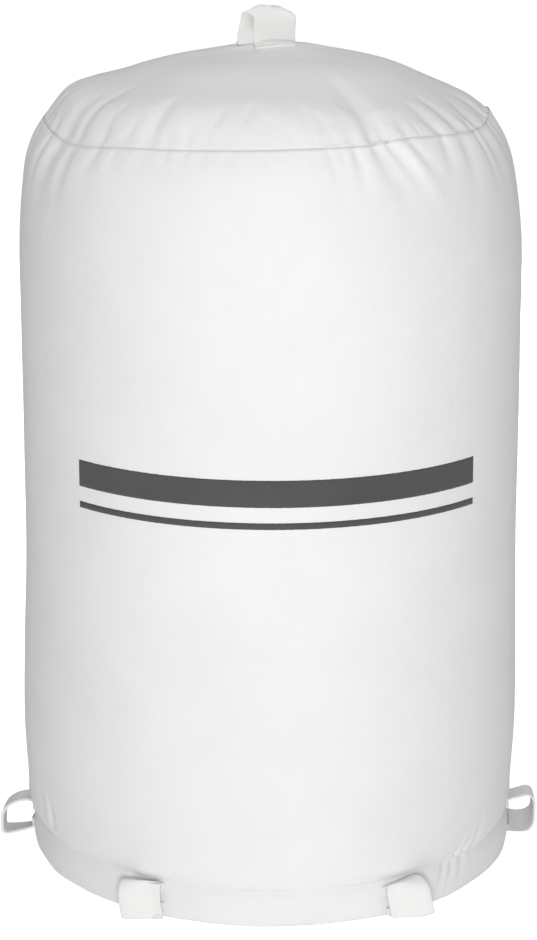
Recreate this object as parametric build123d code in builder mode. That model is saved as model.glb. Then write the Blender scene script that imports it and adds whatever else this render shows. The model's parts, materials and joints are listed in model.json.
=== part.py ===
from build123d import *
import os
from math import asin, cos, degrees, radians, sin, sqrt, tan

os.makedirs("parts", exist_ok=True)

# Upper filter bag of a dust collector: a felt tube with a domed crown, a hemmed
# open mouth, a hanging loop on top and belt loops round the hem.
# Millimetres. The origin is the centre of the mouth, +Z runs up to the crown and
# -Y is the front. The bag stands as it does when air fills it.

# Felt and hem
felt = 2.0                  # thickness of the needle felt
mouth_radius = 246.0        # inside the hem, where the collar goes
hem_depth = 42.0            # height of the folded, doubled hem
hem_stitch_height = 38.5    # row of stitches that closes the hem
thread = 0.6                # thickness and width of a row of stitches

# Side wall, from the hem up
belly = 4.0                 # how far the filled wall stands outside the hem
belly_height = 150.0        # where the wall reaches its full radius
side_height = 762.0         # mouth to crown seam
taper_drop = 142.0          # below the seam, where the wall starts to lean in
shoulder_drop = 44.0        # below the seam, where the shoulder turns over
shoulder_lean = 7.5         # how far the wall has leaned in by then
shoulder_inset = 29.0       # from the full wall in to the crown seam

# Crown
crown_rise = 78.0           # crown seam to the middle of the crown
crown_edge_rise = 35.0      # height of the steeper ring beside the seam
crown_edge_width = 36.0     # and its width
seam_allowance = 12.0       # plies turned in at the crown seam
crown_stitch_inset = 3.0    # from the seam to its row of stitches

# Closing seam at the back of the side wall
side_seam_width = 14.0      # width of the plies pressed flat inside
side_seam_row_spacing = 8.0 # between its two rows of stitches

# Straps
strap = 2.5                 # thickness of the loop strap
hinge_gap = 0.3             # between a loop and the stubs it bends from
row_margin = 3.0            # from the end of a row of stitches to the strap's edge

belt_loop_width = 38.0
belt_loop_height = 22.0     # of the loops' middle above the mouth
belt_loop_standoff = 32.0   # from the hem to the outside of a loop
belt_loop_reach = 23.0      # corner height that the loop's outline is drawn from
belt_loop_corner = 13.0     # radius at that corner
belt_loop_fold = 14.5       # where a foot leaves the wall, from the loop's middle
belt_loop_fold_radius = 2.2
belt_foot_end = 5.5         # where a foot ends, from the loop's middle
belt_hinge_radius = 18.0    # the loop bends beyond this, about its middle
belt_stitch_rows = (7.5, 11.0)

hanging_loop_width = 42.0
hanging_loop_rise = 37.0    # above the middle of the crown
hanging_loop_corner_span = 26.0  # between the corners that the eye is drawn from
hanging_loop_roundness = 0.96    # share of the top that their two arcs take up
hanging_loop_part = 8.0     # height above the feet where the plies part
hanging_loop_part_radius = 12.0
hanging_hinge_radius = 6.7
hanging_foot_length = 14.0
hanging_stitch_rows = (6.0, 13.0)

# Values that follow from those above
hem_radius = mouth_radius + 2 * felt
side_radius = hem_radius + belly
shoulder_radius = side_radius - shoulder_lean
seam_radius = side_radius - shoulder_inset
crown_height = side_height + crown_rise
crown_edge_start = seam_radius - crown_edge_width
dome_rise = crown_rise - crown_edge_rise
dome_radius = (crown_edge_start ** 2 + dome_rise ** 2) / (2 * dome_rise)
seam_point = Vector(seam_radius, side_height)
back = 90                   # azimuth of the closing seam


def turned(direction, angle):
    return direction.rotate(Axis.Z, angle)


# A plane whose X points away from the bag's axis at an azimuth, with Y upward
def radial_plane(azimuth, radius=0, height=0):
    outward = Vector(cos(radians(azimuth)), sin(radians(azimuth)), 0)
    origin = outward * radius + Vector(0, 0, height)
    return Plane(origin=origin, x_dir=outward, z_dir=outward.cross(Vector(0, 0, 1)))


# The rows of the hem, as radius and height
hem_rows = [(radius, hem_stitch_height) for radius in (hem_radius - thread / 2, mouth_radius + thread / 2)]

# Outlines of the outer faces, as radius and height
with BuildLine() as wall_outline:
    half_swell = ((hem_radius + side_radius) / 2, (hem_depth + belly_height) / 2)
    flare = TangentArc((hem_radius, hem_depth), half_swell, tangent=(0, 1))
    swell = TangentArc(flare @ 1, (side_radius, belly_height), tangent=flare % 1)
    wall = Line(swell @ 1, (side_radius, side_height - taper_drop))
    taper = TangentArc(wall @ 1, (shoulder_radius, side_height - shoulder_drop), tangent=wall % 1)
    shoulder = TangentArc(taper @ 1, seam_point, tangent=taper % 1)

with BuildLine() as crown_outline:
    dome = CenterArc((0, crown_height - dome_radius), dome_radius, 90,
                     -degrees(asin(crown_edge_start / dome_radius)))
    crown_edge = TangentArc(dome @ 1, seam_point, tangent=dome % 1)

# The two plies turn in together, midway between the squares of both outlines
turn_in = (turned(crown_edge % 1, -90) + turned(shoulder % 1, 90)).normalized()
crown_side = turned(turn_in, -90)


def on_seam(along, across):
    return seam_point + turn_in * along + crown_side * across


def seam_strip(start, end, low, high):
    corners = [on_seam(start, low), on_seam(end, low), on_seam(end, high), on_seam(start, high)]
    Polyline(*corners, close=True)


# Side wall: one felt sheet with its hem folded in, its top edge turned in
# and its closing seam pressed flat inside the back
with BuildPart() as side_panel:
    with BuildSketch(Plane.XZ):
        with BuildLine():
            add(wall_outline.line)
            offset(amount=felt, side=Side.LEFT)
        make_face()
        with Locations((mouth_radius + felt, hem_depth / 2)):
            Rectangle(2 * felt, hem_depth)
        with Locations(*hem_rows):
            Rectangle(thread, thread, mode=Mode.SUBTRACT)
        with BuildLine():
            seam_strip(0, seam_allowance, -felt, 0)
        make_face()
    revolve(axis=Axis.Z)
    seam_angle = degrees(side_seam_width / side_radius)
    with BuildSketch(radial_plane(back - seam_angle / 2)):
        with BuildLine():
            add(wall_outline.line)
            offset(amount=3 * felt, side=Side.LEFT)
        make_face()
    revolve(axis=Axis.Z, revolution_arc=seam_angle)
side_panel.part.label = "side_panel"
export_step(side_panel.part, "parts/side_panel.step")

# Crown: one felt disc, drawn up into a dome and turned in at its edge
with BuildPart() as crown_panel:
    with BuildSketch(Plane.XZ):
        with BuildLine():
            add(crown_outline.line)
            offset(amount=felt, side=Side.RIGHT)
        make_face()
        with BuildLine():
            seam_strip(0, seam_allowance, 0, felt)
        make_face()
    revolve(axis=Axis.Z)
crown_panel.part.label = "crown_panel"
export_step(crown_panel.part, "parts/crown_panel.step")

# Crown seam: needle thread on one ply, looper thread on the other
with BuildPart() as crown_seam_stitching:
    with BuildSketch(Plane.XZ):
        with BuildLine():
            seam_strip(crown_stitch_inset, crown_stitch_inset + thread, felt, felt + thread)
        make_face()
        with BuildLine():
            seam_strip(crown_stitch_inset, crown_stitch_inset + thread, -felt - thread, -felt)
        make_face()
    revolve(axis=Axis.Z)
crown_seam_stitching.part.label = "crown_seam_stitching"
export_step(crown_seam_stitching.part, "parts/crown_seam_stitching.step")

# Hem: a row outside and its other thread inside, both sunk flush in the felt
with BuildPart() as hem_stitching:
    with BuildSketch(Plane.XZ):
        with Locations(*hem_rows):
            Rectangle(thread, thread)
    revolve(axis=Axis.Z)
hem_stitching.part.label = "hem_stitching"
export_step(hem_stitching.part, "parts/hem_stitching.step")

# Closing seam: two rows up the back of the wall
with BuildPart() as side_seam_stitching:
    thread_angle = degrees(thread / side_radius)
    for side in (-1, 1):
        row_angle = degrees(side * side_seam_row_spacing / 2 / side_radius)
        with BuildSketch(radial_plane(back + row_angle - thread_angle / 2)):
            with BuildLine():
                add(wall_outline.line)
                offset(amount=thread, side=Side.RIGHT)
            make_face()
        revolve(axis=Axis.Z, revolution_arc=thread_angle)
side_seam_stitching.part.label = "side_seam_stitching"
export_step(side_seam_stitching.part, "parts/side_seam_stitching.step")


# Belt loops: outward is the sketch's X, up is its Y, and its origin is the line
# on the hem that the loop bends about
def belt_loop_outline():
    outer = belt_loop_standoff - strap / 2
    upper = [(strap / 2, belt_foot_end), (strap / 2, belt_loop_fold), (outer, belt_loop_reach)]
    lower = [(x, -y) for x, y in reversed(upper)]
    turns = [belt_loop_fold_radius, belt_loop_corner, belt_loop_corner, belt_loop_fold_radius]
    FilletPolyline(*upper, *lower, radius=turns)


belt_loops = {
    "front_left": -120,
    "left": 180,
    "rear_left": 120,
    "rear_right": 60,
    "right": 0,
    "front_right": -60,
}

for place, azimuth in belt_loops.items():
    belt_plane = radial_plane(azimuth, hem_radius, belt_loop_height)
    with BuildPart() as belt_loop:
        with BuildSketch(belt_plane):
            with BuildLine():
                belt_loop_outline()
            trace(line_width=strap)
            Circle(belt_hinge_radius + hinge_gap, mode=Mode.SUBTRACT)
        extrude(amount=belt_loop_width / 2, both=True)
    belt_loop.part.label = "belt_loop_" + place
    export_step(belt_loop.part, "parts/belt_loop_" + place + ".step")

    # Both feet, turned under the loop and laid to the curve of the hem
    wall_curve = hem_radius - sqrt(hem_radius ** 2 - (belt_loop_width / 2) ** 2)
    foot_middle = (belt_foot_end + belt_loop_fold - belt_loop_fold_radius) / 2
    foot_length = belt_loop_fold - belt_loop_fold_radius - belt_foot_end
    with BuildPart() as belt_feet:
        with BuildSketch(belt_plane):
            with BuildLine():
                belt_loop_outline()
            trace(line_width=strap)
            Circle(belt_hinge_radius, mode=Mode.INTERSECT)
            with Locations((0, foot_middle), (0, -foot_middle)):
                Rectangle(2 * wall_curve, foot_length)
        extrude(amount=belt_loop_width / 2, both=True)
        with Locations((0, 0, belt_loop_height)):
            Cylinder(hem_radius, 4 * belt_loop_reach, mode=Mode.SUBTRACT)
    belt_feet.part.label = "belt_loop_" + place + "_feet"
    export_step(belt_feet.part, "parts/belt_loop_" + place + "_feet.step")

    with BuildPart() as belt_stitching:
        with BuildSketch(belt_plane):
            rows = [(strap + thread / 2, side * row) for row in belt_stitch_rows for side in (-1, 1)]
            with Locations(*rows):
                Rectangle(thread, thread)
        extrude(amount=belt_loop_width / 2 - row_margin, both=True)
    belt_stitching.part.label = "belt_loop_" + place + "_stitching"
    export_step(belt_stitching.part, "parts/belt_loop_" + place + "_stitching.step")


# Hanging loop: both plies rise together from the crown and part into an eye.
# Back is the sketch's X, up is its Y, and its origin is on top of the feet.
loop_plane = Plane(origin=(0, 0, crown_height + strap), x_dir=(0, 1, 0), z_dir=(1, 0, 0))


def hanging_loop_outline():
    top = hanging_loop_rise - 1.5 * strap
    back_half = [
        (strap / 2, -strap / 2),
        (strap / 2, hanging_loop_part),
        (hanging_loop_corner_span / 2, top),
    ]
    front_half = [(-x, y) for x, y in reversed(back_half)]
    side = Vector(hanging_loop_corner_span / 2 - strap / 2, top - hanging_loop_part)
    half_turn = radians(side.get_angle(Vector(-1, 0))) / 2
    corner = hanging_loop_roundness * hanging_loop_corner_span / 2 / tan(half_turn)
    turns = [hanging_loop_part_radius, corner, corner, hanging_loop_part_radius]
    FilletPolyline(*back_half, *front_half, radius=turns)


with BuildPart() as hanging_loop:
    with BuildSketch(loop_plane):
        with BuildLine():
            hanging_loop_outline()
        trace(line_width=strap)
        Circle(hanging_hinge_radius + hinge_gap, mode=Mode.SUBTRACT)
    extrude(amount=hanging_loop_width / 2, both=True)
hanging_loop.part.label = "hanging_loop"
export_step(hanging_loop.part, "parts/hanging_loop.step")


def crown_shell(low, high):
    with Locations((0, 0, crown_height - dome_radius)):
        Sphere(dome_radius + high, mode=Mode.INTERSECT)
        Sphere(dome_radius + low, mode=Mode.SUBTRACT)


with BuildPart() as hanging_loop_feet:
    with BuildSketch(Plane.XY.offset(crown_height)):
        Rectangle(hanging_loop_width, 2 * (strap + hanging_foot_length))
    extrude(amount=2 * strap, both=True)
    crown_shell(0, strap)
    with BuildSketch(loop_plane):
        with BuildLine():
            hanging_loop_outline()
        trace(line_width=strap)
        Circle(hanging_hinge_radius, mode=Mode.INTERSECT)
    extrude(amount=hanging_loop_width / 2, both=True)
hanging_loop_feet.part.label = "hanging_loop_feet"
export_step(hanging_loop_feet.part, "parts/hanging_loop_feet.step")

with BuildPart() as hanging_loop_stitching:
    with BuildSketch(Plane.XY.offset(crown_height)):
        with Locations(*[(0, side * row) for row in hanging_stitch_rows for side in (-1, 1)]):
            Rectangle(hanging_loop_width - 2 * row_margin, thread)
    extrude(amount=2 * strap, both=True)
    crown_shell(strap, strap + thread)
hanging_loop_stitching.part.label = "hanging_loop_stitching"
export_step(hanging_loop_stitching.part, "parts/hanging_loop_stitching.step")
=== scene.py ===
import json
import math
import random

import bpy
import numpy as np
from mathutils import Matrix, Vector, noise


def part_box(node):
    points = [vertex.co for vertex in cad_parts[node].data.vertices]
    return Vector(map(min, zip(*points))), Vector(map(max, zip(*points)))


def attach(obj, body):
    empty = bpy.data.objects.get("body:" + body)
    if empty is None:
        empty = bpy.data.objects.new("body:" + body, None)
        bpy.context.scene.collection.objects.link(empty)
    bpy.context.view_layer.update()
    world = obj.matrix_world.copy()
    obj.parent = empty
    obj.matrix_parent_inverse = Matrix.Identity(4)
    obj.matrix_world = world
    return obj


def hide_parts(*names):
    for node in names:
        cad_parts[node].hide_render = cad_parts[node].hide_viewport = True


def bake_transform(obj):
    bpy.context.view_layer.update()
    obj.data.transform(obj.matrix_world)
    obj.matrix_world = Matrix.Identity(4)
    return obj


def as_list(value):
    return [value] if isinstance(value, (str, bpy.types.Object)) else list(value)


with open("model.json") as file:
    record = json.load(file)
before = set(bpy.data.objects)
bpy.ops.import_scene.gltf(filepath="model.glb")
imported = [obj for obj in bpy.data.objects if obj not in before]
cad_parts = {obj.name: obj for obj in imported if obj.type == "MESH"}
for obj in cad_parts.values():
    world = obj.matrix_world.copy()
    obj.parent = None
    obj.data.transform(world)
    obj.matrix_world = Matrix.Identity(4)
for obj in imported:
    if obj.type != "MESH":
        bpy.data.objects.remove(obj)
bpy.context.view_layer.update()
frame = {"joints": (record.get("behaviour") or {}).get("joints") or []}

# Everything is in metres, in the row frame: the mouth's centre is the origin, +Z goes up
# the bag and -Y is its front. Azimuths are in degrees, 0 at the front and 90 at the right.

scene = bpy.context.scene
joints = {joint["name"]: joint for joint in frame["joints"]}

feltThickness = 0.002
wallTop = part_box("side_panel")[1].z
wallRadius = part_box("side_panel")[1].x
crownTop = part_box("crown_panel")[1].z
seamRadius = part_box("crown_panel")[1].x
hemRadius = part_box("hem_stitching")[1].x
hemRowHeight = sum(corner.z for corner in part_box("hem_stitching")) / 2


def onBag(azimuth, radius, height):
    a = np.radians(azimuth)
    return np.stack([radius * np.sin(a), -radius * np.cos(a), height + 0 * a], axis=-1)


def tangentArc(start, heading, end, count):
    # points on the arc that leaves start along heading and ends at end, and its last heading
    start, end = np.array(start, float), np.array(end, float)
    heading = np.array(heading, float)
    chord = end - start
    bend = math.atan2(heading[0] * chord[1] - heading[1] * chord[0], float(np.dot(heading, chord)))
    share = np.linspace(0, 1, count)
    if abs(bend) < 1e-6:
        return start + share[:, None] * chord, heading
    radius = np.linalg.norm(chord) / (2 * math.sin(abs(bend)))
    turn = 2 * bend * share
    side = math.copysign(radius, bend)
    normal = np.array([-heading[1], heading[0]])
    points = start + side * (np.sin(turn)[:, None] * heading + (1 - np.cos(turn))[:, None] * normal)
    return points, math.cos(2 * bend) * heading + math.sin(2 * bend) * normal


def roundedPath(corners, radii, count=12):
    # a run of straight lines with an arc of the given radius at each inner corner
    corners = np.array(corners, float)
    path = [corners[:1]]
    for before, corner, after, radius in zip(corners, corners[1:], corners[2:], radii):
        inward = (corner - before) / np.linalg.norm(corner - before)
        onward = (after - corner) / np.linalg.norm(after - corner)
        turn = math.acos(max(-1.0, min(1.0, float(inward @ onward))))
        setback = radius * math.tan(turn / 2)
        path.append(tangentArc(corner - inward * setback, inward, corner + onward * setback, count)[0])
    path.append(corners[-1:])
    return np.concatenate(path)


def distances(points):
    steps = np.linalg.norm(np.diff(points, axis=0), axis=1)
    return np.concatenate([[0], np.cumsum(steps)])


def resampled(points, stations):
    along = distances(points)
    return np.stack([np.interp(stations, along, points[:, k]) for k in range(points.shape[1])], axis=1)


def evenly(points, step):
    length = distances(points)[-1]
    return resampled(points, np.linspace(0, length, max(2, round(length / step) + 1)))


def gradedStations(length, fine, coarse, fineRun):
    # distances from 0 to length: fine steps for fineRun, then growing to coarse steps
    stations, step = [0.0], fine
    while stations[-1] < length:
        if stations[-1] > fineRun:
            step = min(coarse, step * 1.18)
        stations.append(stations[-1] + step)
    stations = np.array(stations)
    return stations * length / stations[-1]


def softStep(x, low, high):
    t = np.clip((x - low) / (high - low), 0, 1)
    return t * t * (3 - 2 * t)


def hump(x, width):
    return np.exp(-(x / width) ** 2)


def turnedTo(azimuths, azimuth):
    return (azimuths - azimuth + 180) % 360 - 180


def roundTheBag(azimuths, stops):
    # a closed smooth curve through (azimuth, value) stops
    a = np.array([stop[0] for stop in stops], float)
    v = np.array([stop[1] for stop in stops], float)
    fine = np.arange(-360, 360, 1.0)
    kernel = np.hanning(15)
    values = np.interp(fine, np.concatenate([a - 360, a, a + 360]), np.tile(v, 3))
    return np.interp(azimuths, fine, np.convolve(values, kernel / kernel.sum(), mode="same"))


def smoothNoise(azimuths, stations, perTurn, perMetre, seed, octaves=2):
    # noise that closes round the bag: perTurn lumps in a turn, perMetre of them along it
    a = np.radians(np.array(azimuths))
    radius = perTurn / (2 * math.pi)
    out = np.zeros((len(stations), len(a)))
    for i, station in enumerate(stations):
        for j, angle in enumerate(a):
            x, y = radius * math.cos(angle) + seed, radius * math.sin(angle)
            out[i, j] = noise.fractal(Vector((x, y, station * perMetre)), 1.0, 2.0, octaves)
    return out


def newPiece(name, points, faces, smooth=True):
    mesh = bpy.data.meshes.new(name)
    mesh.from_pydata(np.asarray(points, float).reshape(-1, 3).tolist(), [], faces)
    mesh.update()
    if smooth:
        mesh.shade_smooth()
    piece = bpy.data.objects.new(name, mesh)
    scene.collection.objects.link(piece)
    return piece


def gridFaces(count, around, closed=True):
    faces = []
    for r in range(count - 1):
        for c in range(around if closed else around - 1):
            d = (c + 1) % around
            faces.append((r * around + c, (r + 1) * around + c, (r + 1) * around + d, r * around + d))
    return faces


def gridPiece(name, rows, closed=True):
    rows = np.array(rows)
    return newPiece(name, rows, gridFaces(rows.shape[0], rows.shape[1], closed))


bag = {
    "around": 384,
    "fineStep": 0.0042,
    "wallStep": 0.016,
    "crownStep": 0.011,
    "fineRun": 0.10,
    "bellyHeight": 0.150,
    "taperDrop": 0.142,
    "shoulderDrop": 0.044,
    "shoulderLean": 0.0075,
    "crownEdgeRise": 0.035,
    "crownEdgeWidth": 0.036,
    "crownMiddle": 0.012,        # a small disc under the hanging strap, filled in afterwards
    "wallCutRadius": 0.2475,     # of the wall's top edge before the seam draws it in
    "crownCutRadius": 0.2400,    # and of the crown's edge
    "mostMove": 0.016,
    # how far the crown seam lies off its level and off its circle, round the bag
    "seamHeights": [
        (-165, 0.002), (-130, -0.002), (-95, 0.006), (-84, 0.005), (-72, -0.002), (-62, -0.009),
        (-50, -0.007), (-40, -0.003), (-15, 0.0), (5, 0.002), (24, 0.003), (34, 0.008),
        (60, 0.004), (72, 0.005), (84, 0.013), (95, 0.012), (110, 0.006), (150, -0.001),
    ],
    "seamPushes": [
        (-110, 0.0), (-84, 0.003), (-65, 0.0), (55, 0.0), (84, -0.008), (110, -0.003), (140, 0.0),
    ],
    "seamFade": {"wall": 0.06, "crown": 0.07},   # how far from the seam its shifts reach
    "lumps": {"wall": 0.0005, "crown": 0.0006},
    "cutFade": 0.012,            # how far the seam draws in the wall's edge
    "foldLift": 0.9,             # share of a fold's depth that lowers the crown
    "foldPush": 0.45,            # and that draws it in
}

cloth = {
    "frames": 26,
    "settings": {
        "quality": 6, "mass": 0.25, "air_damping": 4.0, "tension_stiffness": 30.0,
        "compression_stiffness": 30.0, "shear_stiffness": 12.0, "bending_stiffness": 1.5,
        "tension_damping": 8.0, "compression_damping": 8.0, "shear_damping": 8.0,
        "use_pressure": True, "uniform_pressure_force": 5.0, "vertex_group_mass": "pinned",
    },
}

# folds that the crown seam gathers: azimuth, width in degrees, depth, length below the seam,
# length over the crown, and how many degrees the fold leans on its way down
placedFolds = [
    (-63, 2.2, 0.0042, 0.060, 0.030, -2), (-57, 1.6, 0.0030, 0.055, 0.060, 0),
    (-47, 1.6, 0.0022, 0.030, 0.020, 0), (-38, 1.2, 0.0014, 0.022, 0.014, 0),
    (-31, 1.8, 0.0022, 0.020, 0.060, 0), (-26, 1.1, 0.0012, 0.024, 0.010, 1),
    (-21, 1.3, 0.0015, 0.022, 0.012, 0), (-16, 1.0, 0.0010, 0.018, 0.010, 0),
    (-11, 1.2, 0.0013, 0.022, 0.012, 0), (-6, 1.1, 0.0012, 0.026, 0.010, 1),
    (-1, 1.2, 0.0013, 0.020, 0.014, 0), (5, 1.1, 0.0012, 0.020, 0.012, 0),
    (10, 1.0, 0.0010, 0.016, 0.010, 1), (14.5, 1.4, 0.0022, 0.045, 0.016, 1),
    (20.0, 1.4, 0.0024, 0.050, 0.020, 1), (25.6, 1.9, 0.0056, 0.050, 0.070, 5),
    (31, 1.6, 0.0030, 0.032, 0.034, 3), (45, 2.2, 0.0024, 0.030, 0.050, 0),
    (54, 2.0, 0.0030, 0.050, 0.050, -2), (66, 2.0, 0.0032, 0.045, 0.030, 2),
    (78, 1.8, 0.0030, 0.040, 0.030, 2),
]
draw = random.Random(7)


def drawFolds(folds, start, end, steps, *spans):
    # random folds at random steps round the bag, with spans of the columns of the table
    spot = start
    while spot < end:
        folds.append((turnedTo(spot, 0), *[draw.uniform(*span) for span in spans]))
        spot += draw.uniform(*steps)


drawFolds(placedFolds, 88, 288, (5, 12),
          (1.3, 2.4), (0.0014, 0.0040), (0.018, 0.060), (0.012, 0.060), (-2, 2))

# sharper gathers, added once the cloth is filled: azimuth, width, depth, lengths below and above, lean
sharpGathers = [
    (-65, 1.3, 0.0014, 0.055, 0.020, -2), (-60, 1.0, 0.0008, 0.040, 0.014, -1),
    (-55, 1.1, 0.0014, 0.048, 0.020, 0), (-46, 0.9, 0.0014, 0.020, 0.010, 0),
    (-40, 0.9, 0.0018, 0.022, 0.009, 0), (13.0, 0.8, 0.0017, 0.022, 0.008, 1),
    (16.3, 0.8, 0.0019, 0.026, 0.008, 1), (20.0, 0.9, 0.0021, 0.026, 0.008, 1),
    (24.6, 1.0, 0.0022, 0.030, 0.010, 2), (28.4, 1.1, 0.0048, 0.036, 0.034, 5),
    (31.4, 1.2, -0.0036, 0.034, 0.028, 5), (34.5, 1.0, 0.0026, 0.026, 0.022, 4),
    (46.0, 1.1, 0.0022, 0.026, 0.014, -1), (52.0, 1.0, 0.0014, 0.022, 0.016, 0),
    (60.5, 1.2, 0.0030, 0.045, 0.020, 2), (64.5, 1.0, 0.0020, 0.030, 0.014, 1),
    (74.0, 1.2, 0.0024, 0.036, 0.018, 1), (83.0, 1.2, 0.0026, 0.040, 0.016, 1),
]
drawFolds(sharpGathers, -36, 11, (2.6, 5.2),
          (0.7, 1.0), (0.0006, 0.0013), (0.012, 0.024), (0.004, 0.009), (-1, 1))
drawFolds(sharpGathers, 92, 290, (3, 9),
          (0.9, 1.3), (0.0008, 0.0026), (0.014, 0.045), (0.006, 0.020), (-2, 2))

halfSwell = ((hemRadius + wallRadius) / 2, (hemRowHeight + bag["bellyHeight"]) / 2)
flare, heading = tangentArc((hemRadius, hemRowHeight), (0, 1), halfSwell, 20)
swell, heading = tangentArc(halfSwell, heading, (wallRadius, bag["bellyHeight"]), 20)
taperStart = (wallRadius, wallTop - bag["taperDrop"])
taperEnd = (wallRadius - bag["shoulderLean"], wallTop - bag["shoulderDrop"])
taper, heading = tangentArc(taperStart, (0, 1), taperEnd, 20)
shoulder, shoulderHeading = tangentArc(taperEnd, heading, (seamRadius, wallTop), 30)
wallDown = np.concatenate([flare, swell[1:], taper, shoulder[1:]])[::-1]

domeStart = (seamRadius - bag["crownEdgeWidth"], wallTop + bag["crownEdgeRise"])
dome, heading = tangentArc((0, crownTop), (1, 0), domeStart, 40)
crownEdge, crownHeading = tangentArc(domeStart, heading, (seamRadius, wallTop), 30)
crownIn = np.concatenate([dome, crownEdge[1:]])[::-1]

azimuths = np.arange(bag["around"]) * 360 / bag["around"] - 180
wallLength, crownLength = distances(wallDown)[-1], distances(crownIn)[-1]
wallStations = gradedStations(wallLength, bag["fineStep"], bag["wallStep"], bag["fineRun"])
wallProfile = resampled(wallDown, wallStations)
crownRun = crownLength - bag["crownMiddle"]
crownStations = gradedStations(crownRun, bag["fineStep"], bag["crownStep"], bag["fineRun"])
crownProfile = resampled(crownIn, crownStations)

seamLift = roundTheBag(azimuths, bag["seamHeights"])
seamPush = roundTheBag(azimuths, bag["seamPushes"])

strapDip = {
    "depth": 0.0042, "starts": (0.004, 0.019), "ends": (0.03, 0.095),
    "azimuth": -35, "spread": 75,
}


def dipAtStrap(azimuth, radius):
    # the crown falls away in front of the hanging strap, most at the left
    share = hump(turnedTo(azimuth, strapDip["azimuth"]), strapDip["spread"])
    reach = softStep(radius, *strapDip["starts"]) * (1 - softStep(radius, *strapDip["ends"]))
    return strapDip["depth"] * share * reach


def foldsFrom(table, places, stations, onCrown, spread, fall, settled):
    # depth of the folds in a table, at places round the bag and stations from the seam
    depth = np.zeros((len(stations), len(places)))
    for azimuth, width, deep, below, above, lean in table:
        run = above if onCrown else below
        leaning = 0 if onCrown else lean
        away = turnedTo(places[None, :], azimuth + leaning * (stations / run)[:, None])
        wide = width * (1 + stations / run * spread)[:, None]
        depth -= deep * np.exp(-(stations / run) ** fall)[:, None] * hump(away, wide)
    return depth * softStep(stations, 0, settled)[:, None]


def gatheredFolds(stations, onCrown):
    return foldsFrom(placedFolds, azimuths, stations, onCrown, 0.5, 1.4, 0.008)


def sharpFolds(stations, onCrown):
    return foldsFrom(sharpGathers, hemAzimuths, stations, onCrown, 0.7, 1.6, 0.006)


# how the filled crown sags between its middle and its edge, more at the right than at the left
crownSag = {
    "all": 0.0045, "starts": (0.02, 0.08), "ends": (0.14, 0.20), "seam": (-0.004, 0.02),
    # depth, radius where it is deepest, width
    "right": (0.0085, 0.185, 0.042), "left": (-0.0045, 0.205, 0.025),
}


def sagOf(places, radius):
    starting = softStep(radius, *crownSag["starts"])
    sag = crownSag["all"] * starting * (1 - softStep(radius, *crownSag["ends"]))
    for side, (depth, middle, width) in ((1, crownSag["right"]), (-1, crownSag["left"])):
        share = np.clip(side * np.sin(np.radians(places)), 0, 1)
        sag = sag + depth * share * hump(radius - middle, width)
    return sag * softStep(seamRadius - radius, *crownSag["seam"])


# the wall stands fuller just above the hem than higher up
lowFullness = {"out": 0.0052, "toLeft": 0.0016, "starts": (0.0385, 0.054), "ends": (0.13, 0.36)}


def lowSwell(places, height):
    rise = softStep(height, *lowFullness["starts"]) * (1 - softStep(height, *lowFullness["ends"]))
    return rise * (lowFullness["out"] - lowFullness["toLeft"] * np.sin(np.radians(places)))


def settle(points, cut, pinned):
    # air pressure fills the cloth: cut holds the panels' flat sizes, and pinned rows stay
    piece = gridPiece("bagCloth", points)
    piece.shape_key_add(name="shape")
    key = piece.shape_key_add(name="cut")
    key.data.foreach_set("co", np.array(cut, np.float32).reshape(-1))
    key.value = 0
    group = piece.vertex_groups.new(name="pinned")
    group.add([int(i) for i in np.nonzero(np.repeat(pinned, points.shape[1]))[0]], 1.0, "REPLACE")
    modifier = piece.modifiers.new("cloth", "CLOTH")
    for setting, value in cloth["settings"].items():
        setattr(modifier.settings, setting, value)
    modifier.settings.rest_shape_key = key
    modifier.settings.effector_weights.gravity = 0
    modifier.collision_settings.use_collision = False
    modifier.collision_settings.use_self_collision = False
    modifier.point_cache.frame_start, modifier.point_cache.frame_end = 1, cloth["frames"]
    for step in range(1, cloth["frames"] + 1):
        scene.frame_set(step)
    shown = piece.evaluated_get(bpy.context.evaluated_depsgraph_get()).to_mesh()
    found = np.zeros(points.size, np.float32)
    shown.vertices.foreach_get("co", found)
    scene.frame_set(1)
    bpy.data.objects.remove(piece)
    return found.reshape(points.shape).astype(float)


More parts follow.
